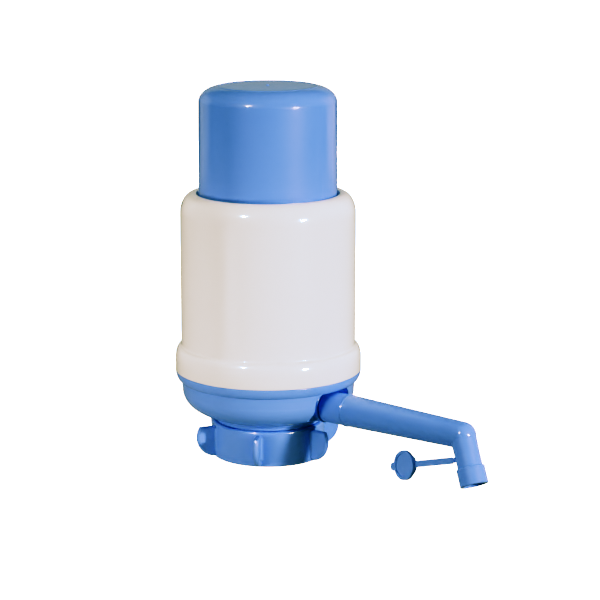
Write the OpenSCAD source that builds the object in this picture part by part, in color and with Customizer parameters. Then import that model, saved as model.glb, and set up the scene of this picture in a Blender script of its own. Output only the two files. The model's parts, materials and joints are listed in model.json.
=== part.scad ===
/* [Jug neck] */
// Outside diameter of the jug neck that the claws grip
neck_d = 55; // [50:0.5:60]
// Radial gap between the open claws and the neck
neck_gap = 0.4; // [0.2:0.1:0.6]
// Wall of the claws with their thread
claw_wall = 4.7; // [4:0.1:5.5]
// Depth of the neck above the bottom edge, up to the gasket
neck_depth = 24.9; // [23:0.1:27]
// Thickness of the gasket on the jug's rim
gasket_t = 2.1; // [1.6:0.1:3]
// Slots that split the skirt into claws
slot_count = 6; // [4:1:8]
// Width of a slot
slot_w = 2.4; // [1.5:0.1:4]
// Height of a slot
slot_h = 16; // [8:0.5:19]
/* [Lock ring] */
// Wall of the lock ring
ring_wall = 4.1; // [3.2:0.1:5]
// Radius that rounds the ring's top edge
ring_round = 1.6; // [0.8:0.1:2.4]
// Grip wings on the ring
wing_count = 6; // [3:1:8]
// Reach of a wing beyond the ring's wall
wing_reach = 12.9; // [9:0.1:16]
// Radius of a wing's curved lower edge
wing_r = 13.4; // [10.5:0.1:14]
// Thickness of a wing
wing_t = 3.6; // [2.4:0.1:5]
// Height of a wing's lowest point above the ring's bottom edge
wing_foot = 0.8; // [0.7:0.1:2]
// Drop from the ring's top to a wing's top edge
wing_drop = 2; // [1.5:0.1:4]
// Turn of the ring's wings from the spout's line in the locked position, in degrees
ring_turn = 1; // [-15:1:15]
/* [Base bowl] */
// Reach of the seam's bead beyond the bowl's wall
bead_inset = 4.4; // [3.6:0.1:6]
// Wall of the bowl
bowl_wall = 2.4; // [1.8:0.1:3]
// Height from the bowl's underside to the seam with the housing
bowl_h = 29.9; // [28:0.1:34]
// Height of the rounded lower corner
corner_h = 16.4; // [12:0.2:18]
// Height of the bead under the seam
bead_h = 6.6; // [5:0.1:7]
/* [Housing] */
// Reach of the flared foot, and of the bead that it sits on, beyond the body
flare_out = 3.9; // [3:0.1:6]
// Height of the straight part of the flare
flare_h = 12.4; // [8:0.1:18]
// Height over which the flare runs into the body
flare_run = 9.6; // [6:0.1:14]
// Radius of the body
body_r = 56.6; // [54:0.1:64]
// Height of the housing above the seam
body_h = 115.8; // [105:0.5:140]
// Wall of the housing
body_wall = 2.3; // [1.8:0.1:3]
// Height of the rounded shoulder
shoulder_h = 12.8; // [9:0.1:16]
// Depth of the collar that guides the press cap
collar_depth = 10; // [6:0.5:14]
/* [Press cap] */
// Distance from the body's radius in to the press cap's radius
cap_inset = 11.9; // [10:0.1:15]
// Travel of the press cap
press_travel = 58; // [40:1:60]
// Height of the cap that still stands above the housing when it is pressed home
cap_left = 11.2; // [9:0.1:16]
// Wall of the press cap
cap_wall = 2; // [1.5:0.1:2.6]
// Radial gap between the cap and the housing's collar
cap_gap = 1.2; // [0.5:0.1:2]
// Inward slope of the cap's side from foot to top
cap_draft = 0.4; // [0:0.1:1]
// Width of the cap's rounded top edge
cap_round_w = 14; // [10:0.5:16]
// Height of the cap's rounded top edge
cap_round_h = 10; // [7:0.5:12]
// Distance of the ring line on the cap's top from the inner end of the rounded edge
top_ring_out = 1.3; // [0.8:0.1:4]
// Thickness of the stop flange at the cap's foot
flange_h = 2.6; // [2:0.1:4]
/* [Bellows and spring] */
// Radial gap between the bellows and the press cap's inside
bellows_gap = 2.5; // [2.2:0.1:5]
// Depth of a fold
fold_depth = 7.6; // [5:0.1:9]
// Number of folds
fold_count = 11; // [8:1:13]
// Wall of the bellows
bellows_wall = 1.3; // [0.8:0.1:1.5]
// Height of the cuff at each end of the bellows
cuff_h = 6.2; // [5:0.1:9]
// Radial gap between the spring and the bellows' folds
spring_room = 6.2; // [4:0.1:9]
// Diameter of the spring wire
wire_d = 2.2; // [1.6:0.1:2.8]
// Turns of the spring
spring_turns = 10; // [7:1:12]
/* [Chamber plate and bellows head] */
// Thickness of the chamber plate
plate_t = 3; // [2.4:0.1:4]
// Thickness of the bellows head
head_t = 2.5; // [2:0.1:3.2]
// Screws that hold the chamber plate
plate_screw_count = 6; // [4:1:6]
// Screws that hold the bellows head
head_screw_count = 4; // [3:1:6]
// Diameter of a screw's shank
screw_d = 3; // [2.5:0.1:3.5]
// Length of a screw's shank
screw_l = 10; // [8:0.5:12]
/* [Spout] */
// Height of the spout's axis above the bowl's underside
spout_rise = 12.5; // [12:0.1:14.5]
// Distance from the bowl's largest radius in to the face of the outlet boss
boss_inset = 6.4; // [5:0.1:8]
// Radius of the outlet boss
boss_r = 10.9; // [10:0.1:11.2]
// Bore of the outlet boss
boss_bore_d = 14; // [12:0.1:15]
// Radius of the coupling at the boss
coupling_r = 10.1; // [9.4:0.1:10.2]
// Length of the coupling
coupling_l = 16.6; // [12:0.1:22]
// Radius of the arm where it leaves the coupling
arm_root_r = 10.2; // [9:0.1:10.4]
// Radius of the arm at the elbow
arm_tip_r = 8.4; // [8:0.1:9.2]
// Length of the arm from the coupling to the elbow's centre
arm_l = 88.6; // [60:0.2:120]
// Turn of the spout about its own axis away from hanging straight down, in degrees
spout_turn = 12; // [-30:1:30]
// Outward tilt of the nozzle from the arm's square, in degrees
nozzle_tilt = 25.5; // [0:0.5:30]
// Radius of the nozzle tube
nozzle_r = 7.8; // [7.2:0.05:8.2]
// Length from the elbow's centre to the mouth
nozzle_l = 31.4; // [30:0.1:38]
// Bore of the nozzle's mouth
mouth_d = 13.3; // [12:0.1:14]
// Length of the sleeve at the mouth
sleeve_l = 11.5; // [10:0.1:12]
// Wall of the sleeve at the mouth
sleeve_wall = 2.2; // [1.9:0.1:2.6]
/* [Tethered cap] */
// Distance along the nozzle from the elbow's centre to the strap
strap_drop = 13; // [12:0.1:15.5]
// Length of the strap
strap_l = 28; // [20:0.1:40]
// Width of the strap
strap_w = 3.2; // [2:0.1:4]
// Thickness of the strap
strap_t = 1.3; // [0.8:0.1:2]
// Diameter of the cap's disc
disc_d = 18; // [15:0.1:22]
// Length of the plug
plug_l = 4.3; // [3.5:0.1:5.5]
/* [Dip tube socket] */
// Bore of the socket for the dip tube
socket_d = 12; // [8:0.1:13]
// Depth of the socket
socket_l = 9.4; // [6:0.1:10]
/* [Hidden] */
$fn = 96;
// Steps in a rounded corner's outline
steps = 14;
// Overrun of every cut past the face that it opens
over = 1;
// Gap between pieces that move on each other without guiding
run_gap = 0.3;
// Radial gap between a pin and the bore that guides it
fit_gap = 0.05;
// Colours
pump_blue = [0.40, 0.58, 0.90];
pump_white = [0.93, 0.93, 0.92];
seal_grey = [0.25, 0.26, 0.28];
natural = [0.88, 0.88, 0.84];
steel = [0.72, 0.73, 0.75];

// Neck, skirt and lock ring
claw_r = neck_d / 2 + neck_gap;
skirt_r = claw_r + claw_wall;
ring_bore_r = skirt_r + run_gap;
ring_r = ring_bore_r + ring_wall;
ring_chamfer = 0.5;
ring_top_gap = 0.3;

// Steps of the neck between the ring and the bowl
step_h = 2.4;
step_w = 2;
lip_h = 1.2;
lip_w = 3.9;
gasket_room = gasket_t + 2 * fit_gap;
base_z = neck_depth + gasket_room;
ring_h = base_z - lip_h - step_h - ring_top_gap;
// Fillet where a wing meets the ring, how far its ends sink in, and the wing's top chamfer
wing_fillet = 2.8;
wing_sink = 0.4;
wing_edge = 1.2;
wing_x = ring_r + wing_reach - wing_r;
wing_z = wing_r + wing_foot;
wing_top = ring_h - wing_drop;

// Bowl, with the lap of its rounded corner under the neck's skirt
gasket_w = 8.6;
groove_w = 0.5;
corner_lap = 1;
flare_r = body_r + flare_out;
bowl_r = flare_r - bead_inset;
corner_w = bowl_r - skirt_r + corner_lap;
floor_z = base_z + bowl_wall;
seam_z = base_z + bowl_h;
bead_z = seam_z - bead_h;
corner_z = base_z + corner_h;
// Growth of the bowl's radius from the corner to the bead, and the step under the bead
bowl_draft = 0.6;
bead_step = 0.4;
// Ledge and recess for the chamber plate
gasket_ring_t = 1.2;
gasket_ring_w = 5.6;
seat_drop = 5;
seat_z = seam_z - seat_drop;
seat_w = 6.6;
seat_t = 1.6;
seat_brace = 5;
recess_wall = 3;
recess_r = bowl_r + bowl_draft - recess_wall;
// Spigot that the housing slips over
spigot_h = 7;
spigot_wall = 2.2;
spigot_r = flare_r - body_wall - run_gap;

// Pocket in the bowl's wall round the outlet boss
spout_z = base_z + spout_rise;
boss_face = bowl_r - boss_inset;
pocket_depth = 3.7;
pocket_face = boss_face - pocket_depth;
pocket_half_w = 16.5;
pocket_round = 7;
// Riser and channel that carry the water from the dip tube to the spout
riser_wall = 2.6;
riser_drop = gasket_room - ring_top_gap;
riser_r = socket_d / 2 + riser_wall;
channel_d = 9;
channel_wall = 2.2;
channel_r = channel_d / 2 + channel_wall;
boss_bore_l = 11.8;
boss_x = boss_face - boss_bore_l;
air_hole_d = 3.6;
air_hole_count = 4;
air_hole_r = riser_r + air_hole_d;

// Housing
body_top = seam_z + body_h;
shoulder_z = body_top - shoulder_h;
cap_r = body_r - cap_inset;
open_r = cap_r + cap_gap;
open_edge = 0.7;
// Flat between the rounded shoulder and the opening's edge
shoulder_flat = 1.6;
shoulder_w = cap_inset - cap_gap - open_edge - shoulder_flat;
collar_wall = 2.1;
collar_z = body_top - collar_depth;

// Press cap
cap_top = body_top + press_travel + cap_left;
flange_top = collar_z - run_gap;
flange_r = body_r - body_wall - 4 * run_gap;
cap_foot = flange_top - flange_h;
cap_inner_r = cap_r - cap_wall;
// Rounded edge up to the ring line, the ring line, the shallow dome within it and the gate's mark
top_line_w = 1;
top_line_h = 0.35;
gate_r = 1.3;
gate_h = 0.6;
cap_dome = 0.45;
top_r = cap_r - cap_draft;
top_ring_r = top_r - cap_round_w + top_ring_out;
crown_z = cap_top - gate_h;
ring_line_z = crown_z - cap_dome;
edge_end = acos((top_ring_out + top_line_w / 2) / cap_round_w);
side_top = ring_line_z - cap_round_h * sin(edge_end);
in_top = side_top + cap_round_h - cap_wall;

// Chamber plate, bellows head and what they hold
plate_z = seat_z + gasket_ring_t;
plate_top = plate_z + plate_t;
plate_r = recess_r - run_gap;
head_drop = 11.6;
head_top = cap_top - head_drop;
bellows_r = cap_inner_r - bellows_gap;
head_z = head_top - head_t;
head_r = cap_inner_r - cap_draft - 2 * run_gap;
cuff_in = bellows_r - bellows_wall;
post_r = cuff_in - run_gap;
post_wall = 2.2;
hoop_gap = 0.2;
hoop_wall = 1.4;
hoop_h = 4;
bellows_z = plate_top + run_gap;
bellows_top = head_z - run_gap;
fold_z = bellows_z + cuff_h;
fold_end = bellows_top - cuff_h;
// Guide rings that centre the spring, inside the chords of its turns
rings_per_turn = 8;
guide_wall = 1.6;
guide_h = 4;
spring_r = bellows_r - fold_depth - bellows_wall - wire_d / 2 - spring_room;
guide_r = (spring_r - wire_d / 2) * cos(180 / rings_per_turn) - run_gap;
// Umbrella valves
stem_r = 1.6;
valve_r = 8;
valve_lip = 0.7;
valve_dome = 1.6;
bulb_r = 2.3;
port_d = 2.4;
port_count = 6;
port_r = 4.9;
// Screws
head_d_share = 2.1;
head_h_share = 0.75;
boss_wall = 2;
screw_boss_r = screw_d / 2 + boss_wall;
screw_head_gap = 0.25;
screw_post_gap = 1.9;
plate_screw_r = bellows_r + hoop_gap + hoop_wall + screw_d * head_d_share / 2 + screw_head_gap;
head_screw_r = post_r - post_wall - screw_boss_r - screw_post_gap;
head_dome_share = 1.5;
slot_l_share = 1.2;
slot_share = 0.3;

// Spring
spring_z = plate_top + wire_d / 2 + run_gap;
spring_end = head_z - wire_d / 2 - run_gap;
closed_gap = 0.6;
wire_sides = 6;
closed_pitch = wire_d + closed_gap;
open_pitch = (spring_end - spring_z - 2 * closed_pitch) / (spring_turns - 2);

// Spout
pin_r = boss_bore_d / 2 - fit_gap;
pin_bore_r = 4.6;
face_gap = 0.8;
coupling_x = boss_face + face_gap;
coupling_end = coupling_x + coupling_l;
elbow_x = coupling_end + arm_l;
pin_end = boss_x + run_gap;
snap_w = 1.4;
snap_h = 0.35;
snap_in = 2.6;
snap_x = boss_x + snap_in;
seal_t = 1.5;
seal_in = 4.2;
seal_x = boss_face - seal_in;
seal_wall = 0.05;
socket_floor = 3;
root_wall = 2.1;
root_pin_r = arm_root_r - root_wall;
arm_bore_r = 6;
coupling_grow = 0.1;
collar_bead_w = 1.3;
collar_bead_h = 0.35;
elbow_bore_r = 5.9;
tube_root_step = 0.2;
tube_root_r = arm_tip_r - tube_root_step;
tube_run = 12;
sleeve_r = mouth_d / 2 + sleeve_wall;
sleeve_lap = 5.2;
sleeve_edge = 0.6;
sleeve_top = nozzle_l - sleeve_l;
tube_end = sleeve_top + sleeve_lap;

// Tethered cap
stub_l = 1.6;
// Bead at the strap's root, about which it bends
bend_bead = 0.15;
bend_r = strap_t / 2 + bend_bead;
bend_x = nozzle_r + stub_l + run_gap + bend_r;
strap_lift = 10.2;
disc_t = 1.6;
disc_rim_w = 1.9;
disc_rim_h = 0.6;
disc_yaw = 11.6;
plug_gap = 0.15;
plug_r = mouth_d / 2 - plug_gap;
plug_wall = 1.4;
plug_floor = 1.2;
plug_lead = 1;
tab_r = 2;
tab_out = 1.2;

// Points of an elliptical arc about a centre, from one angle to another
function arc(c, rx, ry, a0, a1) = [
  for (i = [0:steps]) let (a = a0 + (a1 - a0) * i / steps) [c[0] + rx * cos(a), c[1] + ry * sin(a)]
];

// Points of a soft step from one radius to another
function ease(r0, z0, r1, z1) = [
  for (i = [0:steps]) let (t = i / steps) [r0 + (r1 - r0) * (1 - cos(180 * t)) / 2, z0 + (z1 - z0) * t]
];

module spin(points) {
  rotate_extrude() polygon(points);
}

module tube(r_out, r_in, z0, z1) {
  translate([0, 0, z0]) difference() {
    cylinder(r = r_out, h = z1 - z0);
    translate([0, 0, -over]) cylinder(r = r_in, h = z1 - z0 + 2 * over);
  }
}

// Puts a shape that stands on the pump's axis along the spout's axis
module along_spout() {
  translate([0, 0, spout_z]) rotate([0, 90, 0]) children();
}

// Puts a shape at the elbow, with its Z down the nozzle and its X towards the pump
module along_nozzle() {
  translate([elbow_x, 0, spout_z]) rotate([-spout_turn, 0, 0]) rotate([0, 180 - nozzle_tilt, 0])
    children();
}

module round_places(count, r, turn) {
  for (i = [0:count - 1]) rotate([0, 0, turn + 360 * i / count]) translate([r, 0, 0]) children();
}

module outer_housing() {
  inner_r = body_r - body_wall;
  flare_in = flare_r - body_wall;
  color(pump_white) spin(concat(
    [[flare_r, seam_z]],
    ease(flare_r, seam_z + flare_h, body_r, seam_z + flare_h + flare_run),
    arc([body_r - shoulder_w, shoulder_z], shoulder_w, shoulder_h, 0, 90),
    arc([open_r + open_edge, body_top - open_edge], open_edge, open_edge, 90, 180),
    [[open_r, collar_z], [open_r + collar_wall, collar_z]],
    arc([open_r + collar_wall, shoulder_z], inner_r - open_r - collar_wall,
      shoulder_h - body_wall, 90, 0),
    ease(inner_r, seam_z + flare_h + flare_run, flare_in, seam_z + flare_h),
    [[flare_in, seam_z]]
  ));
}

// Outline of the bowl's outside, from the lip up to the seam
function bowl_outside() = concat(
  [[skirt_r + lip_w, base_z - lip_h]],
  arc([bowl_r - corner_w, corner_z], corner_w, corner_h,
    -acos((skirt_r + lip_w + bowl_wall / 2 - bowl_r + corner_w) / corner_w), 0),
  [[bowl_r + bowl_draft, bead_z], [bowl_r + bowl_draft + bead_step, bead_z]],
  arc([bowl_r + bowl_draft + bead_step, seam_z], flare_r - bowl_r - bowl_draft - bead_step,
    bead_h, -90, 0)
);

// Outline of the bowl's inside, from the recess for the plate down to the floor
function bowl_inside() = concat(
  [[recess_r, seam_z], [recess_r, seat_z], [recess_r - seat_w, seat_z]],
  [[recess_r - seat_w, seat_z - seat_t], [bowl_r - bowl_wall, seat_z - seat_t - seat_brace]],
  arc([bowl_r - corner_w, corner_z], corner_w - bowl_wall, corner_h - bowl_wall, 0, -90)
);

module bowl_shell() {
  spin(concat(
    [[claw_r, 0], [skirt_r - ring_chamfer, 0], [skirt_r, ring_chamfer]],
    [[skirt_r, base_z - lip_h - step_h], [skirt_r + step_w, base_z - lip_h - step_h]],
    [[skirt_r + step_w, base_z - lip_h]],
    bowl_outside(),
    [[spigot_r, seam_z], [spigot_r, seam_z + spigot_h]],
    [[spigot_r - spigot_wall, seam_z + spigot_h], [spigot_r - spigot_wall, seam_z]],
    bowl_inside(),
    [[0, floor_z], [0, base_z], [claw_r + groove_w, base_z]],
    [[claw_r + groove_w, neck_depth], [claw_r, neck_depth]]
  ));
}

// Block behind the bowl's surface from which the pocket is cut, seen along the spout
module pocket(half_w, face, top) {
  translate([face, 0, 0]) rotate([90, 0, 90]) linear_extrude(flare_r) difference() {
    translate([-half_w, -over]) square([2 * half_w, top + over]);
    for (side = [-1, 1]) translate([side * half_w, top]) difference() {
      square(2 * pocket_round, center = true);
      translate([-side * pocket_round, -pocket_round]) circle(pocket_round);
    }
  }
}

module pocket_wall() {
  intersection() {
    spin(concat([[0, base_z]], bowl_outside(), [[0, seam_z]]));
    difference() {
      pocket(pocket_half_w + bowl_wall, pocket_face - bowl_wall, seat_z);
      pocket(pocket_half_w, pocket_face, bead_z);
      translate([0, 0, -over]) cylinder(r = flare_r, h = base_z + over);
    }
  }
}

module screw_bosses() {
  foot_z = corner_z - (corner_h - bowl_wall) * sin(acos((plate_screw_r + screw_boss_r - bowl_r
    + corner_w) / corner_w));
  round_places(plate_screw_count, plate_screw_r, 180 / plate_screw_count)
    translate([0, 0, foot_z]) cylinder(r = screw_boss_r, h = seat_z - foot_z);
}

module base_bowl() {
  color(pump_blue) difference() {
    union() {
      difference() {
        bowl_shell();
        pocket(pocket_half_w, pocket_face, bead_z);
      }
      pocket_wall();
      screw_bosses();
      translate([0, 0, base_z - riser_drop]) cylinder(r = riser_r, h = spout_z - base_z + riser_drop);
      translate([0, 0, spout_z]) sphere(riser_r);
      along_spout() cylinder(r = channel_r, h = pocket_face);
      along_spout() translate([0, 0, boss_x - bowl_wall])
        cylinder(r = boss_r, h = boss_face - boss_x + bowl_wall);
    }
    // Slots between the claws
    round_places(slot_count, claw_r, 180 / slot_count) translate([-over, -slot_w / 2, -over])
      cube([claw_wall + 2 * over, slot_w, slot_h + over]);
    // Water way from the dip tube socket to the boss
    translate([0, 0, base_z - riser_drop - over]) cylinder(d = socket_d, h = socket_l + over);
    translate([0, 0, base_z - riser_drop]) cylinder(d = channel_d, h = spout_z - base_z + riser_drop);
    translate([0, 0, spout_z]) sphere(d = channel_d);
    along_spout() cylinder(d = channel_d, h = boss_face);
    along_spout() translate([0, 0, boss_x]) cylinder(d = boss_bore_d, h = boss_face - boss_x + over);
    along_spout() translate([0, 0, snap_x - snap_w])
      cylinder(r = pin_r + snap_h + fit_gap, h = 2 * snap_w);
    // Air holes into the jug and pilot holes for the screws
    round_places(air_hole_count, air_hole_r, 180 / air_hole_count) translate([0, 0, base_z - over])
      cylinder(d = air_hole_d, h = bowl_wall + 2 * over);
    round_places(plate_screw_count, plate_screw_r, 180 / plate_screw_count)
      translate([0, 0, seat_z - screw_l]) cylinder(d = screw_d + 2 * fit_gap, h = screw_l + over);
  }
}

module neck_gasket() {
  color(seal_grey) tube(claw_r + groove_w - fit_gap, claw_r - gasket_w, base_z - gasket_t, base_z);
}

module plate_gasket() {
  color(seal_grey) tube(plate_r, plate_r - gasket_ring_w, seat_z, plate_z);
}

module plate_screw_holes() {
  round_places(plate_screw_count, plate_screw_r, 180 / plate_screw_count)
    translate([0, 0, seat_z - over]) cylinder(d = screw_d + run_gap, h = plate_top - seat_z + 2 * over);
}

// Disc with a post ring for the bellows, a guide ring for the spring and ports for a valve
module valve_disc(r, t) {
  difference() {
    union() {
      cylinder(r = r, h = t);
      tube(post_r, post_r - post_wall, 0, t + cuff_h);
      tube(guide_r, guide_r - guide_wall, 0, t + guide_h);
    }
    translate([0, 0, -over]) cylinder(r = stem_r + fit_gap, h = t + 2 * over);
    round_places(port_count, port_r, 0) translate([0, 0, -over]) cylinder(d = port_d, h = t + 2 * over);
  }
}

module chamber_plate() {
  color(natural) difference() {
    translate([0, 0, plate_z]) valve_disc(plate_r, plate_t);
    plate_screw_holes();
  }
}

// Pan-head screw with its head above z 0 and its shank below
module screw() {
  head_r = screw_d * head_d_share / 2;
  head_h = screw_d * head_h_share;
  difference() {
    union() {
      translate([0, 0, -screw_l]) cylinder(d = screw_d, h = screw_l);
      intersection() {
        cylinder(r = head_r, h = head_h);
        translate([0, 0, head_h - head_r * head_dome_share]) sphere(head_r * head_dome_share);
      }
    }
    for (turn = [0, 90]) rotate([0, 0, turn]) translate([0, 0, head_h])
      cube([head_r * slot_l_share, head_r * slot_share, head_h], center = true);
  }
}

module plate_screws() {
  color(steel) round_places(plate_screw_count, plate_screw_r, 180 / plate_screw_count)
    translate([0, 0, plate_top]) screw();
}

// Hoop that clamps a bellows cuff on its post ring
module hoop(z0) {
  in_r = bellows_r + hoop_gap;
  edge = hoop_wall / 2;
  translate([0, 0, z0]) spin(concat(
    [[in_r, 0], [in_r + hoop_wall - edge, 0]],
    arc([in_r + hoop_wall - edge, edge], edge, edge, -90, 0),
    arc([in_r + hoop_wall - edge, hoop_h - edge], edge, edge, 0, 90),
    [[in_r, hoop_h]]
  ));
}

module lower_bellows_clamp() {
  color(natural) hoop(bellows_z + hoop_wall);
}

module upper_bellows_clamp() {
  color(natural) hoop(bellows_top - hoop_wall - hoop_h);
}

// Umbrella valve under a disc of thickness t whose underside is at z 0
module umbrella(t) {
  spin(concat(
    [[0, -valve_dome - valve_lip]],
    arc([0, -valve_lip], valve_r, valve_dome, -90, 0),
    [[valve_r, -valve_lip / 2], [stem_r, -valve_lip / 2], [stem_r, t + run_gap]],
    [[bulb_r, t + run_gap], [bulb_r, t + bulb_r], [stem_r, t + 2 * bulb_r], [0, t + 2 * bulb_r]]
  ));
}

module delivery_valve() {
  color(seal_grey) translate([0, 0, plate_z]) umbrella(plate_t);
}

module intake_valve() {
  color(seal_grey) translate([0, 0, head_z]) umbrella(head_t);
}

// Outer radius of the bellows at share t of its folded height
function fold_r(t) = bellows_r - fold_depth * (1 - cos(360 * fold_count * t)) / 2;

module bellows() {
  folds = fold_count * rings_per_turn;
  outside = [for (i = [0:folds]) [fold_r(i / folds), fold_z + (fold_end - fold_z) * i / folds]];
  inside = [for (i = [folds:-1:0]) outside[i] - [bellows_wall, 0]];
  color(natural) spin(concat(
    [[bellows_r, bellows_z]], outside, [[bellows_r, bellows_top], [cuff_in, bellows_top]],
    inside, [[cuff_in, bellows_z]]
  ));
}

// Height of the wire's centre after a number of turns: closed turns at both ends, open between
function wire_z(turn) = spring_z
  + closed_pitch * min(turn, 1)
  + open_pitch * min(max(turn - 1, 0), spring_turns - 2)
  + closed_pitch * max(turn - spring_turns + 1, 0);
function wire_point(i) = let (turn = i / rings_per_turn)
  [spring_r * cos(360 * turn), spring_r * sin(360 * turn), wire_z(turn)];
wire_rings = spring_turns * rings_per_turn;
wire_gap = min([for (i = [0:wire_rings], j = [i + rings_per_turn / 2:wire_rings])
  norm(wire_point(i) - wire_point(j))]) - wire_d;
echo(least_gap_of_spring_to_itself = wire_gap);

module return_spring() {
  ring_points = [
    for (i = [0:wire_rings], k = [0:wire_sides - 1])
      let (turn = i / rings_per_turn, a = 360 * k / wire_sides, r = spring_r + wire_d / 2 * cos(a))
        [r * cos(360 * turn), r * sin(360 * turn), wire_z(turn) + wire_d / 2 * sin(a)]
  ];
  sides = [
    for (i = [0:wire_rings - 1], k = [0:wire_sides - 1])
      let (a = i * wire_sides + k, b = i * wire_sides + (k + 1) % wire_sides)
        each [[a, b, b + wire_sides], [a, b + wire_sides, a + wire_sides]]
  ];
  last = wire_rings * wire_sides;
  ends = [
    for (k = [1:wire_sides - 2]) each [[0, k + 1, k], [last, last + k, last + k + 1]]
  ];
  color(steel) polyhedron(ring_points, concat(sides, ends));
}

module press_cap() {
  dome_r = top_ring_r - top_line_w / 2;
  color(pump_blue) {
    spin(concat(
      [[cap_inner_r, cap_foot], [flange_r, cap_foot], [flange_r, flange_top]],
      [[cap_r, flange_top]],
      arc([top_r - cap_round_w, side_top], cap_round_w, cap_round_h, 0, edge_end),
      [[top_ring_r, ring_line_z + top_line_h]],
      [for (i = [steps:-1:1]) let (t = i / steps) [max(dome_r * t, gate_r),
        ring_line_z + cap_dome * (1 - t * t)]],
      [[gate_r, crown_z], [gate_r / 2, cap_top], [0, cap_top], [0, in_top]],
      arc([top_r - cap_round_w, side_top], cap_round_w - cap_wall, cap_round_h - cap_wall, 90, 0)
    ));
    difference() {
      round_places(head_screw_count, head_screw_r, 180 / head_screw_count)
        translate([0, 0, head_top]) cylinder(r = screw_boss_r, h = in_top - head_top + cap_wall / 2);
      round_places(head_screw_count, head_screw_r, 180 / head_screw_count)
        translate([0, 0, head_top - over]) cylinder(d = screw_d + 2 * fit_gap, h = screw_l - head_t + over);
    }
  }
}

module bellows_head() {
  color(natural) difference() {
    translate([0, 0, head_top]) mirror([0, 0, 1]) valve_disc(head_r, head_t);
    round_places(head_screw_count, head_screw_r, 180 / head_screw_count)
      translate([0, 0, head_z - over]) cylinder(d = screw_d + run_gap, h = head_t + 2 * over);
  }
}

module head_screws() {
  color(steel) round_places(head_screw_count, head_screw_r, 180 / head_screw_count)
    translate([0, 0, head_z]) mirror([0, 0, 1]) screw();
}

// Flat round ear with a rounded rim, lying in the plane of x and z
module wing_disc() {
  rim_r = wing_t / 2;
  rotate([90, 0, 0]) rotate_extrude() intersection() {
    union() {
      translate([0, -rim_r]) square([wing_r - rim_r, wing_t]);
      translate([wing_r - rim_r, 0]) circle(rim_r, $fn = 32);
    }
    translate([0, -wing_t]) square([wing_r, 2 * wing_t]);
  }
}

module wing() {
  reach = ring_r + wing_reach + over;
  fillet_x = ring_r + wing_fillet - wing_sink;
  fillet_y = wing_t / 2 + wing_fillet - wing_sink;
  difference() {
    translate([wing_x, 0, wing_z]) wing_disc();
    translate([0, -wing_t, wing_top]) cube([reach, 2 * wing_t, wing_r]);
    for (side = [-1, 1]) translate([reach / 2, side * wing_t / 2, wing_top]) rotate([45, 0, 0])
      cube([reach, wing_edge, wing_edge], center = true);
  }
  // Fillets at the root
  intersection() {
    for (side = [-1, 1]) linear_extrude(wing_top - wing_edge) difference() {
      translate([ring_bore_r, min(0, side * fillet_y)]) square([fillet_x - ring_bore_r, fillet_y]);
      translate([fillet_x, side * fillet_y]) circle(wing_fillet);
    }
    translate([wing_x, wing_r, wing_z]) rotate([90, 0, 0]) cylinder(r = wing_r - wing_t, h = 2 * wing_r);
  }
}

module lock_ring() {
  color(pump_blue) rotate([0, 0, ring_turn]) difference() {
    union() {
      spin(concat(
        [[ring_bore_r - over, 0], [ring_r - ring_chamfer, 0], [ring_r, ring_chamfer]],
        arc([ring_r - ring_round, ring_h - ring_round], ring_round, ring_round, 0, 90),
        [[ring_bore_r - over, ring_h]]
      ));
      round_places(wing_count, 0, 0) wing();
    }
    translate([0, 0, -over]) cylinder(r = ring_bore_r, h = ring_h + 2 * over);
  }
}

module spout_coupling() {
  seal_r = pin_r - seal_t - seal_wall;
  color(pump_blue) along_spout() difference() {
    spin([
      [pin_bore_r, pin_end], [pin_r - snap_h, pin_end], [pin_r, pin_end + snap_h],
      [pin_r, snap_x - snap_w / 2], [pin_r + snap_h, snap_x], [pin_r, snap_x + snap_w / 2],
      [pin_r, seal_x - seal_t / 2 - seal_wall], [seal_r, seal_x - seal_t / 2 - seal_wall],
      [seal_r, seal_x + seal_t / 2 + seal_wall], [pin_r, seal_x + seal_t / 2 + seal_wall],
      [pin_r, coupling_x], [coupling_r - snap_h, coupling_x], [coupling_r, coupling_x + snap_h],
      [coupling_r + coupling_grow, coupling_end], [pin_bore_r, coupling_end]
    ]);
    translate([0, 0, coupling_x + socket_floor])
      cylinder(r = root_pin_r + fit_gap, h = coupling_l - socket_floor + over);
  }
}

module spout_seal() {
  color(seal_grey) along_spout() translate([0, 0, seal_x]) rotate_extrude()
    translate([pin_r - seal_t / 2, 0]) circle(d = seal_t, $fn = 32);
}

module spout_arm() {
  root_x = coupling_x + socket_floor + run_gap;
  color(pump_blue) difference() {
    union() {
      along_spout() spin([
        [0, root_x], [root_pin_r, root_x], [root_pin_r, coupling_end + fit_gap],
        [arm_root_r, coupling_end + fit_gap], [arm_root_r + collar_bead_h, coupling_end + collar_bead_w / 3],
        [arm_root_r + collar_bead_h, coupling_end + collar_bead_w * 2 / 3],
        [arm_root_r, coupling_end + collar_bead_w], [arm_tip_r, elbow_x], [0, elbow_x]
      ]);
      translate([elbow_x, 0, spout_z]) sphere(arm_tip_r);
      along_nozzle() cylinder(r1 = tube_root_r, r2 = nozzle_r, h = tube_run);
      along_nozzle() cylinder(r = nozzle_r, h = tube_end);
      along_nozzle() translate([0, -strap_t / 2, strap_drop - strap_w / 2])
        cube([nozzle_r + stub_l, strap_t, strap_w]);
    }
    along_spout() translate([0, 0, root_x - over]) cylinder(r = arm_bore_r, h = elbow_x - root_x + over);
    translate([elbow_x, 0, spout_z]) sphere(arm_bore_r);
    along_nozzle() cylinder(r = elbow_bore_r, h = tube_end + over);
  }
}

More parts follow.
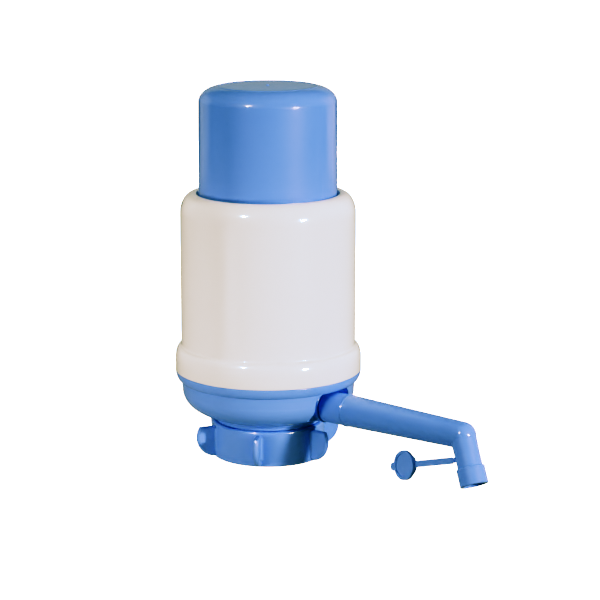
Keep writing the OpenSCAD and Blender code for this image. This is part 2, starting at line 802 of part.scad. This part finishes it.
module nozzle_sleeve() {
  color(pump_blue) along_nozzle() spin([
    [mouth_d / 2, tube_end + run_gap], [nozzle_r + fit_gap, tube_end + run_gap],
    [nozzle_r + fit_gap, sleeve_top], [sleeve_r - sleeve_edge, sleeve_top],
    [sleeve_r, sleeve_top + sleeve_edge], [sleeve_r, nozzle_l - sleeve_edge / 2],
    [sleeve_r - sleeve_edge / 2, nozzle_l], [mouth_d / 2, nozzle_l]
  ]);
}

module tether_cap() {
  disc_r = disc_d / 2;
  color(pump_blue) along_nozzle() translate([bend_x, 0, strap_drop]) rotate([0, strap_lift, 0]) {
    translate([0, 0, -strap_w / 2]) cylinder(r = bend_r, h = strap_w, $fn = 32);
    translate([0, -strap_t / 2, -strap_w / 2]) cube([strap_l + disc_rim_w, strap_t, strap_w]);
    translate([strap_l + disc_r, 0, 0]) rotate([0, 0, disc_yaw]) rotate([90, 0, 0]) {
      difference() {
        union() {
          translate([0, 0, -disc_t / 2]) cylinder(r = disc_r, h = disc_t);
          tube(disc_r, disc_r - disc_rim_w, 0, disc_t / 2 + disc_rim_h);
          spin([
            [0, -disc_t / 2 - plug_l], [plug_r - plug_lead, -disc_t / 2 - plug_l],
            [plug_r, -disc_t / 2 - plug_l + plug_lead], [plug_r, 0], [0, 0]
          ]);
          translate([disc_r + tab_out, 0, -disc_t / 2]) cylinder(r = tab_r, h = disc_t, $fn = 32);
        }
        translate([0, 0, -disc_t / 2 - plug_l - over])
          cylinder(r = plug_r - plug_wall, h = plug_l - plug_floor + over);
      }
    }
  }
}

outer_housing();
base_bowl();
neck_gasket();
plate_gasket();
chamber_plate();
plate_screws();
lower_bellows_clamp();
delivery_valve();
bellows();
return_spring();
press_cap();
bellows_head();
head_screws();
upper_bellows_clamp();
intake_valve();
lock_ring();
spout_coupling();
spout_seal();
spout_arm();
nozzle_sleeve();
tether_cap();
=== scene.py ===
import json
import math

import bmesh
import bpy
from mathutils import Matrix, Vector


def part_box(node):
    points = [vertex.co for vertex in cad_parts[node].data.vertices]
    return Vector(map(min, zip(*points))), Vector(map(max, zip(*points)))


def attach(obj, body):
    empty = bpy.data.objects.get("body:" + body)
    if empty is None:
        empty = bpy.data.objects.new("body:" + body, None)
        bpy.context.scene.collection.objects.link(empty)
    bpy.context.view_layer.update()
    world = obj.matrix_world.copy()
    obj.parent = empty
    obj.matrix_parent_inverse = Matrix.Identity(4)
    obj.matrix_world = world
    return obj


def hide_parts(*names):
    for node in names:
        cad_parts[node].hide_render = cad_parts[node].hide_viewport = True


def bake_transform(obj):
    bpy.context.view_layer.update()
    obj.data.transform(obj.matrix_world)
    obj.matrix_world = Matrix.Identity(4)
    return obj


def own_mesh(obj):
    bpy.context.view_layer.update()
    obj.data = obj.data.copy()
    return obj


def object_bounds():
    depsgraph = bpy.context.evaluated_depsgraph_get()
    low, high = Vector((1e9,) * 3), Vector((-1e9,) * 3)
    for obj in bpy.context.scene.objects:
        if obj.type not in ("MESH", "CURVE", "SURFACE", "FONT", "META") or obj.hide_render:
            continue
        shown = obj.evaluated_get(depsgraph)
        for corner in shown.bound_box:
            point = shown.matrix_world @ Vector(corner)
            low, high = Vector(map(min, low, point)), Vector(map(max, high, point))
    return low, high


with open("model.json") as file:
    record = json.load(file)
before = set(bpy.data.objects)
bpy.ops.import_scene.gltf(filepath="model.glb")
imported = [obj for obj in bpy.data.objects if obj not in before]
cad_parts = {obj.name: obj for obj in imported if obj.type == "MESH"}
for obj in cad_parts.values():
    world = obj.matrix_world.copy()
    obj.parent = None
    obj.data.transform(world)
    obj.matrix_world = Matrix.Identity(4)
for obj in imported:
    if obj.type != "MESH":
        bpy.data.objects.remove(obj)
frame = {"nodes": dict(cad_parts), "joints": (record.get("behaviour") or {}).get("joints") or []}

mm = 0.001
cad_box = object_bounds()


# Camera at the photograph's viewing angle
FRAME_PX = 600
VIEW_AZIMUTH = math.radians(40.7)
CAMERA_AWAY = 1.325
CAMERA_HEIGHT = 0.3904
CAMERA_PITCH = math.radians(12.283)
CAMERA_ROLL = math.radians(0.133)
FOCAL_PX = 2090
AXIS_COLUMN_PX = 268.14
SENSOR = 36
FAR_END = 100


def add_camera():
    data = bpy.data.cameras.new("camera")
    data.sensor_width = SENSOR
    data.lens = FOCAL_PX / FRAME_PX * SENSOR
    data.shift_x = (FRAME_PX / 2 - AXIS_COLUMN_PX) / FRAME_PX
    data.clip_end = FAR_END
    camera = bpy.data.objects.new("camera", data)
    bpy.context.scene.collection.objects.link(camera)
    level = Vector((math.sin(VIEW_AZIMUTH), -math.cos(VIEW_AZIMUTH), 0))
    back = level * math.cos(CAMERA_PITCH) + Vector((0, 0, math.sin(CAMERA_PITCH)))
    right = Vector((math.cos(VIEW_AZIMUTH), math.sin(VIEW_AZIMUTH), 0))
    up = back.cross(right)
    rolled_right = right * math.cos(CAMERA_ROLL) - up * math.sin(CAMERA_ROLL)
    rolled_up = up * math.cos(CAMERA_ROLL) + right * math.sin(CAMERA_ROLL)
    turn = Matrix((rolled_right, rolled_up, back)).transposed().to_4x4()
    place = level * CAMERA_AWAY + Vector((0, 0, CAMERA_HEIGHT))
    camera.matrix_world = Matrix.Translation(place) @ turn
    bpy.context.scene.camera = camera


# Materials, all procedural
CLOUD_SCALE = 35
GRAIN_SCALE = 420
WAVE_SCALE = 60
ROUGH_LOW = 0.8
ROUGH_HIGH = 1.25
PLASTIC_IOR = 1.5
UNDER_SKIN_SHEEN = 0.12
GLOW_DEPTH = 4 * mm
WIRE_GRAIN = 900
BEVEL_SAMPLES = 4


def new_material(name):
    material = bpy.data.materials.new(name)
    material.use_nodes = True
    tree = material.node_tree
    return material, tree, tree.nodes["Principled BSDF"]


def place_of(tree, scale):
    coords = tree.nodes.new("ShaderNodeTexCoord")
    mapping = tree.nodes.new("ShaderNodeMapping")
    mapping.inputs["Scale"].default_value = scale
    tree.links.new(coords.outputs["Object"], mapping.inputs["Vector"])
    return mapping.outputs["Vector"]


def noise(tree, scale, detail, stretch=(1, 1, 1)):
    node = tree.nodes.new("ShaderNodeTexNoise")
    node.inputs["Scale"].default_value = scale
    node.inputs["Detail"].default_value = detail
    tree.links.new(place_of(tree, stretch), node.inputs["Vector"])
    return node.outputs["Fac"]


def ramp(tree, value, low, high):
    node = tree.nodes.new("ShaderNodeMapRange")
    node.inputs["To Min"].default_value = low
    node.inputs["To Max"].default_value = high
    tree.links.new(value, node.inputs["Value"])
    return node.outputs["Result"]


def mix_colours(tree, value, a, b):
    node = tree.nodes.new("ShaderNodeMix")
    node.data_type = "RGBA"
    node.inputs["A"].default_value = (*a, 1)
    node.inputs["B"].default_value = (*b, 1)
    tree.links.new(value, node.inputs["Factor"])
    return node.outputs["Result"]


def add_bump(tree, shader, value, depth, edge=0.0):
    """Fine relief, on edges that are rounded off by a small radius"""
    node = tree.nodes.new("ShaderNodeBump")
    node.inputs["Distance"].default_value = depth
    tree.links.new(value, node.inputs["Height"])
    if edge:
        soft = tree.nodes.new("ShaderNodeBevel")
        soft.samples = BEVEL_SAMPLES
        soft.inputs["Radius"].default_value = edge
        tree.links.new(soft.outputs["Normal"], node.inputs["Normal"])
    tree.links.new(node.outputs["Normal"], shader.inputs["Normal"])
    tree.links.new(node.outputs["Normal"], shader.inputs["Coat Normal"])


def moulded_plastic(name, colour, shade, rough, soft=0.0, depth=0.012 * mm, edge=0.0, skin=0.0):
    """Moulded plastic with faint clouding and a slightly wavy wall, under a glossy skin if asked"""
    material, tree, shader = new_material(name)
    cloud = noise(tree, CLOUD_SCALE, 3)
    tree.links.new(mix_colours(tree, cloud, colour, shade), shader.inputs["Base Color"])
    fine = noise(tree, GRAIN_SCALE, 4)
    tree.links.new(ramp(tree, fine, rough * ROUGH_LOW, rough * ROUGH_HIGH), shader.inputs["Roughness"])
    shader.inputs["IOR"].default_value = PLASTIC_IOR
    if skin:
        shader.inputs["Specular IOR Level"].default_value = UNDER_SKIN_SHEEN
        shader.inputs["Coat Weight"].default_value = 1
        skin_grain = ramp(tree, fine, skin * ROUGH_LOW, skin * ROUGH_HIGH)
        tree.links.new(skin_grain, shader.inputs["Coat Roughness"])
    if soft:
        shader.inputs["Subsurface Weight"].default_value = soft
        shader.inputs["Subsurface Radius"].default_value = (1, 1, 1)
        shader.inputs["Subsurface Scale"].default_value = GLOW_DEPTH
    add_bump(tree, shader, noise(tree, WAVE_SCALE, 2, (1, 1, 0.35)), depth, edge)
    return material


SOFT_EDGE = 0.5 * mm
WALL_ROUGH = 0.45
SKIN = 0.11
blue = moulded_plastic("blue_gloss", (0.236, 0.322, 0.815), (0.252, 0.338, 0.840), WALL_ROUGH,
                       edge=SOFT_EDGE, skin=SKIN)
# A lighter copy of the same blue: painted light, standing in for the stronger light that falls on the
# bowl, the lock ring and the tether cap.
painted_lit_blue = moulded_plastic("painted_lit_blue_gloss", (0.262, 0.355, 0.850), (0.280, 0.372, 0.870), WALL_ROUGH,
                            edge=SOFT_EDGE, skin=SKIN)
white = moulded_plastic("white_gloss", (0.865, 0.862, 0.855), (0.885, 0.884, 0.880), WALL_ROUGH,
                        edge=SOFT_EDGE, skin=SKIN)
rubber = moulded_plastic("seal_rubber", (0.05, 0.05, 0.055), (0.07, 0.07, 0.075), 0.55,
                         depth=0.03 * mm)
natural = moulded_plastic("natural_plastic", (0.72, 0.73, 0.70), (0.78, 0.78, 0.75), 0.32, 0.4)
bellows_skin = moulded_plastic("bellows_plastic", (0.70, 0.71, 0.69), (0.80, 0.80, 0.78), 0.38, 0.5)
steel, steel_tree, steel_shader = new_material("steel")
steel_shader.inputs["Base Color"].default_value = (0.62, 0.63, 0.65, 1)
steel_shader.inputs["Metallic"].default_value = 1
wire_marks = noise(steel_tree, WIRE_GRAIN, 3, (1, 1, 6))
steel_tree.links.new(ramp(steel_tree, wire_marks, 0.18, 0.34), steel_shader.inputs["Roughness"])
add_bump(steel_tree, steel_shader, wire_marks, 0.004 * mm)

# The bowl and the lock ring wear the lighter blue, which is painted light.
NODE_MATERIALS = {
    "outer_housing": white, "base_bowl": painted_lit_blue, "neck_gasket": rubber, "plate_gasket": rubber,
    "chamber_plate": natural, "plate_screws": steel, "lower_bellows_clamp": natural,
    "delivery_valve": rubber, "bellows": bellows_skin, "return_spring": steel, "press_cap": blue,
    "bellows_head": natural, "head_screws": steel, "upper_bellows_clamp": natural,
    "intake_valve": rubber, "lock_ring": painted_lit_blue, "spout_coupling": blue, "spout_seal": rubber,
    "spout_arm": blue, "nozzle_sleeve": blue, "tether_cap": blue,
}


def dress(name, material):
    piece = frame["nodes"][name]
    piece.data.materials.clear()
    piece.data.materials.append(material)


for node_name, node_material in NODE_MATERIALS.items():
    dress(node_name, node_material)


# Pieces made here
SHARP_ANGLE = math.radians(35)


def new_piece(name, mesh, material, slot, body, *replaced):
    """A finished mesh as a piece, smooth apart from its sharp edges, on a body if one is given"""
    for face in mesh.polygons:
        face.use_smooth = True
    mesh.set_sharp_from_angle(angle=SHARP_ANGLE)
    mesh.materials.append(material)
    piece = bpy.data.objects.new(name, mesh)
    bpy.context.scene.collection.objects.link(piece)
    if body:
        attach(piece, body)
    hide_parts(*replaced)
    return piece


def grid_mesh(name, rings, closed_along):
    """Mesh of rings of points, each joined to the next, either in a loop or with closed ends"""
    count = len(rings[0])
    points = [p for ring in rings for p in ring]
    faces = []
    last = len(rings) if closed_along else len(rings) - 1
    for i in range(last):
        a, b = i * count, (i + 1) % len(rings) * count
        for k in range(count):
            n = (k + 1) % count
            faces.append((a + k, a + n, b + n, b + k))
    if not closed_along:
        faces.append(tuple(range(count))[::-1])
        faces.append(tuple(range(last * count, (last + 1) * count)))
    mesh = bpy.data.meshes.new(name)
    mesh.from_pydata(points, [], faces)
    build = bmesh.new()
    build.from_mesh(mesh)
    bmesh.ops.recalc_face_normals(build, faces=build.faces)
    build.to_mesh(mesh)
    build.free()
    return mesh


def lathe(name, outline, sides):
    """Body of revolution about the pump's axis from a closed outline of radii and heights in mm"""
    rings = []
    for k in range(sides):
        a = math.tau * k / sides
        rings.append([(r * math.cos(a) * mm, r * math.sin(a) * mm, z * mm) for r, z in outline])
    return grid_mesh(name, rings, True)


def arc(centre, reach_r, reach_z, start, end, steps=12):
    """Points of an elliptical arc between two angles in degrees"""
    angles = [math.radians(start + (end - start) * i / steps) for i in range(steps + 1)]
    return [(centre[0] + reach_r * math.cos(a), centre[1] + reach_z * math.sin(a)) for a in angles]


def joint_named(name):
    return next(joint for joint in frame["joints"] if joint["name"] == name)


# Housing with the round-topped flare that stands out from the body at a crease
SEAM_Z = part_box("outer_housing")[0][2] / mm
HOUSING_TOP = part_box("outer_housing")[1][2] / mm
FLARE_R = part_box("outer_housing")[1][0] / mm
FLARE_OUT = 3.9
BODY_R = FLARE_R - FLARE_OUT
HOUSING_WALL = 2.3
FLARE_STRAIGHT = 8
FLARE_ROUND = 8.2
FLARE_LIP = 0.35
CREASE = 1.3
CREASE_OUT = 0.55
CREASE_TURN = 235
SHOULDER_TO_CAP = 11.9
CAP_ROOM = 1.2
OPEN_R = BODY_R - SHOULDER_TO_CAP + CAP_ROOM
OPEN_EDGE = 0.7
COLLAR_WALL = 2.1
COLLAR_DEPTH = 10
SHOULDER_W = 8.4
SHOULDER_H = 12.8


def housing_outline():
    inner_r = BODY_R - HOUSING_WALL
    flare_in = FLARE_R - HOUSING_WALL
    crease_r = BODY_R + CREASE_OUT
    crease_z = SEAM_Z + FLARE_STRAIGHT + FLARE_ROUND
    shoulder_z = HOUSING_TOP - SHOULDER_H
    collar_out = OPEN_R + COLLAR_WALL
    outline = arc((FLARE_R - FLARE_LIP, SEAM_Z + FLARE_LIP), FLARE_LIP, FLARE_LIP, -90, 0, 4)
    outline += arc((crease_r, SEAM_Z + FLARE_STRAIGHT), FLARE_R - crease_r, FLARE_ROUND, 0, 84, 18)
    outline += arc((BODY_R + CREASE, crease_z + CREASE), CREASE, CREASE, CREASE_TURN, 180, 5)
    outline += arc((BODY_R - SHOULDER_W, shoulder_z), SHOULDER_W, SHOULDER_H, 0, 90, 22)
    outline += arc((OPEN_R + OPEN_EDGE, HOUSING_TOP - OPEN_EDGE), OPEN_EDGE, OPEN_EDGE, 90, 180, 6)
    outline += [(OPEN_R, HOUSING_TOP - COLLAR_DEPTH), (collar_out, HOUSING_TOP - COLLAR_DEPTH)]
    outline += arc((collar_out, shoulder_z), inner_r - collar_out, SHOULDER_H - HOUSING_WALL, 90, 0)
    outline += arc((inner_r + CREASE, crease_z), CREASE, CREASE, 180, CREASE_TURN, 4)
    inner_crease = crease_r - HOUSING_WALL
    outline += arc((inner_crease, SEAM_Z + FLARE_STRAIGHT), flare_in - inner_crease,
                   FLARE_ROUND - HOUSING_WALL, 60, 0, 8)
    return outline + [(flare_in, SEAM_Z)]


HOUSING_SIDES = 192
new_piece("housing_shell", lathe("housing_shell", housing_outline(), HOUSING_SIDES), white,
          "white_gloss", "base", "outer_housing")

# Bellows with rounded folds between stiff cuffs, and the spring in it
BELLOWS_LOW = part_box("bellows")[0][2] / mm
BELLOWS_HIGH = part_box("bellows")[1][2] / mm
BELLOWS_R = 40.2
BELLOWS_WALL = 1.2
CUFF = 6.2
FOLDS = 11
FOLD_DEPTH = 7.6
FOLD_STEPS = 14
FOLD_POWER = 0.8
BELLOWS_SIDES = 128
WIRE_D = 2.2
WIRE_SIDES = 14
SPRING_R = 24
SPRING_TURNS = 10
TURN_STEPS = 36
CLOSED_PITCH = WIRE_D + 0.6


def bellows_outline():
    low, high = BELLOWS_LOW + CUFF, BELLOWS_HIGH - CUFF
    outside = []
    for i in range(FOLDS * FOLD_STEPS + 1):
        share = i / (FOLDS * FOLD_STEPS)
        wave = (1 - math.cos(math.tau * FOLDS * share)) / 2
        outside.append((BELLOWS_R - FOLD_DEPTH * wave ** FOLD_POWER, low + (high - low) * share))
    inside = [(r - BELLOWS_WALL, z) for r, z in reversed(outside)]
    cuff_in = BELLOWS_R - BELLOWS_WALL
    upper_cuff = [(BELLOWS_R, BELLOWS_HIGH), (cuff_in, BELLOWS_HIGH)]
    return [(BELLOWS_R, BELLOWS_LOW)] + outside + upper_cuff + inside + [(cuff_in, BELLOWS_LOW)]


def spring_rings():
    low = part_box("return_spring")[0][2] / mm + WIRE_D / 2
    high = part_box("return_spring")[1][2] / mm - WIRE_D / 2
    pitch = (high - low - 2 * CLOSED_PITCH) / (SPRING_TURNS - 2)
    rings = []
    for i in range(SPRING_TURNS * TURN_STEPS + 1):
        turn = i / TURN_STEPS
        a = math.tau * turn
        z = low + CLOSED_PITCH * min(turn, 1) + pitch * min(max(turn - 1, 0), SPRING_TURNS - 2)
        z += CLOSED_PITCH * max(turn - SPRING_TURNS + 1, 0)
        ring = []
        for k in range(WIRE_SIDES):
            b = math.tau * k / WIRE_SIDES
            r = SPRING_R + WIRE_D / 2 * math.cos(b)
            rise = z + WIRE_D / 2 * math.sin(b)
            ring.append((r * math.cos(a) * mm, r * math.sin(a) * mm, rise * mm))
        rings.append(ring)
    return rings


bellows = new_piece("bellows_folds", lathe("bellows_folds", bellows_outline(), BELLOWS_SIDES),
                    bellows_skin, "bellows_plastic", None, "bellows")
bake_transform(bellows)
spring = new_piece("spring_wire", grid_mesh("spring_wire", spring_rings(), False), steel, "steel",
                   "base", "return_spring")
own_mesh(spring)


# Tethered cap of soft plastic, its disc turned so that the plug shows, on a wider strap
STRAP_FROM = 0.9
STRAP_END = 28
STRAP_W = 4.2
STRAP_T = 1.4
STRAP_IN_DISC = 1.2
STRAP_ENDS = (5, 28.6)
DISC_R = 9
DISC_GROW = 1.04
DISC_TURN = math.radians(3)
DISC_FROM = STRAP_END - 1
KNOB_FROM = STRAP_END + 2 * DISC_R + 0.3
KNOB_GROW = 1.35


def strap_mesh(place):
    """Closed strap from the bead at its root to inside the disc"""
    rings = []
    for x in (STRAP_FROM, STRAP_END / 2, STRAP_END + STRAP_IN_DISC):
        rings.append([place(x * mm, y * STRAP_T / 2 * mm, z * STRAP_W / 2 * mm)
                      for y, z in ((-1, -1), (1, -1), (1, 1), (-1, 1))])
    return grid_mesh("strap", rings, False)


def tether_mesh():
    """Copy of the solid with its disc turned and its knob reshaped, joined to the wider strap"""
    mesh = frame["nodes"]["tether_cap"].data.copy()
    hinge = joint_named("strap_flex")
    root = Vector(hinge["pos_m"])
    points = [v.co - root for v in mesh.vertices]
    strap_ends = [p for p in points if STRAP_ENDS[0] * mm < p.length < STRAP_ENDS[1] * mm]
    along = (sum(strap_ends, Vector()) / len(strap_ends)).normalized()
    side = Vector(hinge["axis"]).cross(along).normalized()
    across = along.cross(side)

    def place(x, y, z):
        return root + along * x + side * y + across * z

    centre_x = (STRAP_END + DISC_R) * mm
    for vertex, p in zip(mesh.vertices, points):
        x, y, z = p.dot(along), p.dot(side), p.dot(across)
        if x > DISC_FROM * mm:
            if x > KNOB_FROM * mm:
                x, z = KNOB_FROM * mm + (x - KNOB_FROM * mm) * KNOB_GROW, z * KNOB_GROW
            else:
                x, z = centre_x + (x - centre_x) * DISC_GROW, z * DISC_GROW
            dx = x - centre_x
            x = centre_x + dx * math.cos(DISC_TURN) - y * math.sin(DISC_TURN)
            y = dx * math.sin(DISC_TURN) + y * math.cos(DISC_TURN)
        vertex.co = place(x, y, z)
    mesh.materials.clear()
    build = bmesh.new()
    build.from_mesh(mesh)
    build.from_mesh(strap_mesh(place))
    build.to_mesh(mesh)
    build.free()
    return mesh


# The tether cap wears the lighter blue too, which is painted light.
new_piece("tether_soft", tether_mesh(), painted_lit_blue, "blue_gloss", "tether", "tether_cap")


# Studio
AIM = (0, 0, 0.13)


def add_area(name, azimuth, elevation, away, size, power, colour, aim=AIM, glossy=True, diffuse=True):
    """Light that faces aim, its azimuth in degrees from the camera's side and its sizes in metres"""
    data = bpy.data.lights.new(name, "AREA")
    data.shape = "RECTANGLE"
    data.size, data.size_y = size
    data.energy = power
    data.color = colour
    light = bpy.data.objects.new(name, data)
    bpy.context.scene.collection.objects.link(light)
    a, e = VIEW_AZIMUTH + math.radians(azimuth), math.radians(elevation)
    towards = Vector((math.sin(a) * math.cos(e), -math.cos(a) * math.cos(e), math.sin(e)))
    light.location = Vector(aim) + towards * away
    light.rotation_euler = towards.to_track_quat("Z", "Y").to_euler()
    light.visible_glossy = glossy
    light.visible_diffuse = diffuse
    return light


def add_plane(name, size, z, material):
    mesh = bpy.data.meshes.new(name)
    half = size / 2
    corners = [(-half, -half, z), (half, -half, z), (half, half, z), (-half, half, z)]
    mesh.from_pydata(corners, [], [(0, 1, 2, 3)])
    plane = bpy.data.objects.new(name, mesh)
    bpy.context.scene.collection.objects.link(plane)
    mesh.materials.append(material)
    return plane


FLOOR_CLOUD = 3
FLOOR_SPREAD = 1.02


def pale(name, grey, glow):
    material, tree, shader = new_material(name)
    cloud = noise(tree, FLOOR_CLOUD, 2)
    greys = mix_colours(tree, cloud, (grey,) * 3, (grey * FLOOR_SPREAD,) * 3)
    tree.links.new(greys, shader.inputs["Base Color"])
    shader.inputs["Roughness"].default_value = 0.9
    shader.inputs["Specular IOR Level"].default_value = 0.1
    shader.inputs["Emission Color"].default_value = (1, 1, 1, 1)
    shader.inputs["Emission Strength"].default_value = glow
    return material


FLOOR_GAP = 0.1 * mm
BOUNCE_GAP = 1 * mm
floor_z = cad_box[0][2] - FLOOR_GAP
floor = add_plane("floor", 30, floor_z, pale("floor_pale", 0.85, 6))
floor.visible_diffuse = False
floor.visible_glossy = False
floor.visible_transmission = False
bounce = add_plane("bounce_floor", 2.4, floor_z - BOUNCE_GAP, pale("bounce_grey", 0.08, 0.21))
bounce.visible_camera = False

add_area("key_right", azimuth=54.6, elevation=13, away=1.3, size=(0.06, 0.06), power=19.5,
         colour=(0.65, 0.72, 1.0), aim=(0.02, 0, 0.05), glossy=False)
add_area("key_left", azimuth=-44, elevation=-4, away=0.42, size=(0.12, 0.12), power=1.3,
         colour=(0.70, 0.73, 1.0), aim=(-0.02, -0.02, 0.07), glossy=False)
add_area("fill_left", azimuth=-33, elevation=30, away=1.5, size=(0.3, 0.3), power=2.8,
         colour=(0.8, 0.82, 1.0), glossy=False)
add_area("high", azimuth=0, elevation=80, away=1.5, size=(0.8, 0.8), power=8.5,
         colour=(0.78, 0.82, 1.0), glossy=False)
add_area("high_right", azimuth=115, elevation=58, away=1.5, size=(0.8, 0.8), power=3.5,
         colour=(0.78, 0.82, 1.0), glossy=False)
add_area("high_left", azimuth=-115, elevation=58, away=1.5, size=(0.8, 0.8), power=7.0,
         colour=(0.78, 0.82, 1.0), glossy=False)
add_area("glint_right", azimuth=46, elevation=10, away=1.5, size=(0.13, 0.13), power=32,
         colour=(0.95, 0.97, 1.0), diffuse=False)
add_area("glint_left", azimuth=-33, elevation=30, away=1.5, size=(0.12, 0.12), power=22,
         colour=(0.97, 0.97, 1.0), diffuse=False)
add_area("back_high", azimuth=180, elevation=14, away=1.9, size=(2.0, 0.8), power=2.0,
         colour=(0.74, 0.80, 1.0))
add_area("back_right", azimuth=130, elevation=5, away=1.6, size=(1.0, 1.4), power=3.2,
         colour=(0.85, 0.86, 1.0))
add_area("back_left", azimuth=-130, elevation=5, away=1.6, size=(1.0, 1.4), power=2.8,
         colour=(0.82, 0.84, 1.0))
add_area("back_key", azimuth=180, elevation=2, away=1.5, size=(0.2, 0.2), power=20,
         colour=(0.68, 0.74, 1.0), glossy=False)

WORLD_GLOW = 0.01
world = bpy.data.worlds.new("studio")
bpy.context.scene.world = world
world.use_nodes = True
sky = world.node_tree.nodes["Background"]
sky.inputs["Color"].default_value = (1, 1, 1, 1)
sky.inputs["Strength"].default_value = WORLD_GLOW

add_camera()


# Tone: for red, green and blue an S-curve of power, half-light and top, which eases off towards white
TONE_WHITE = 2.0
TONE_SHARES = (0.025, 0.05, 0.1, 0.15, 0.2, 0.275, 0.35, 0.45, 0.6, 0.8)
TONE_CURVES = ((3.2, 0.035, 0.80), (2.06, 0.17, 0.905), (2.03, 0.55, 1.09))


def set_tone():
    view = bpy.context.scene.view_settings
    view.view_transform = "Standard"
    view.use_curve_mapping = True
    mapping = view.curve_mapping
    mapping.white_level = (TONE_WHITE,) * 3
    for curve, (power, half, top) in zip(mapping.curves, TONE_CURVES):
        for share in TONE_SHARES:
            light = (share * TONE_WHITE) ** power
            curve.points.new(share, top * light / (light + half))
    mapping.update()


set_tone()
